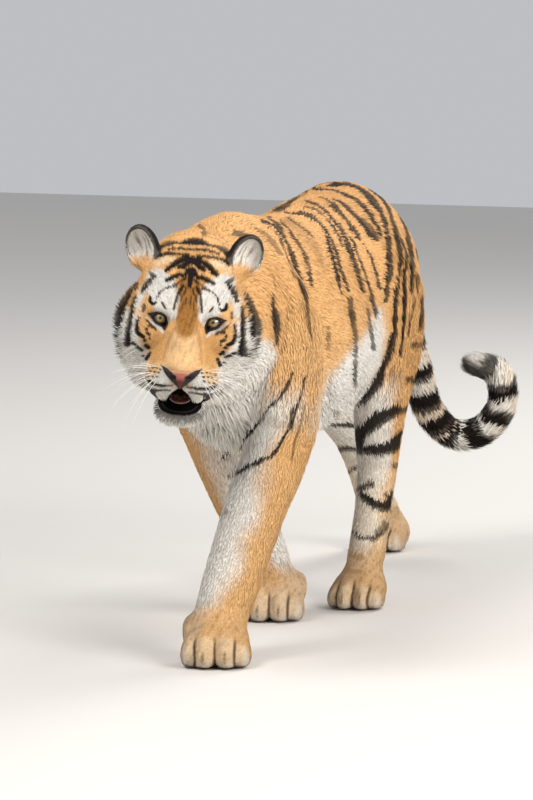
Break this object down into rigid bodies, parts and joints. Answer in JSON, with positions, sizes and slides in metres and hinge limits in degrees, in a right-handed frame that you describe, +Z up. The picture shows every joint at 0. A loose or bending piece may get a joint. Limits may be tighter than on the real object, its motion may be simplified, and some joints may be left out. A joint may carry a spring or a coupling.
{
  "type": "tiger figure",
  "caption": "Life-size still figure of an Amur tiger walking with its head lowered and its tail tip curled, standing on four paws.",
  "frame": {"origin": "on the floor, under the middle of the model's box", "axes": "+Z up; the tiger walks towards -Y; +X is the animal's own left side"},
  "size_m": [0.4364, 2.1898, 0.9207],
  "materials": {
    "coat": "short dense fur, warm orange with dark stripes, white below",
    "coat_pale": "short dense fur, off-white",
    "ear": "fur, black rim and pale inside",
    "nose": "bare skin, matt, dark edges",
    "eye": "wet, glossy"
  },
  "bodies": {
    "root": {"belly": "coat", "chest": "coat", "ear_left": "ear", "ear_right": "ear", "eye_left": "eye", "eye_right": "eye", "front_left_forearm": "coat", "front_left_paw": "coat", "front_left_upper_arm": "coat", "front_right_forearm": "coat", "front_right_paw": "coat", "front_right_upper_arm": "coat", "head": "coat", "hind_left_foot": "coat", "hind_left_paw": "coat", "hind_left_shank": "coat", "hind_left_thigh": "coat", "hind_right_foot": "coat", "hind_right_paw": "coat", "hind_right_shank": "coat", "hind_right_thigh": "coat", "lower_jaw": "coat_pale", "neck": "coat", "nose_pad": "nose", "rump": "coat", "tail_1": "coat", "tail_2": "coat", "tail_3": "coat", "tail_4": "coat"}
  },
  "joints": []
}
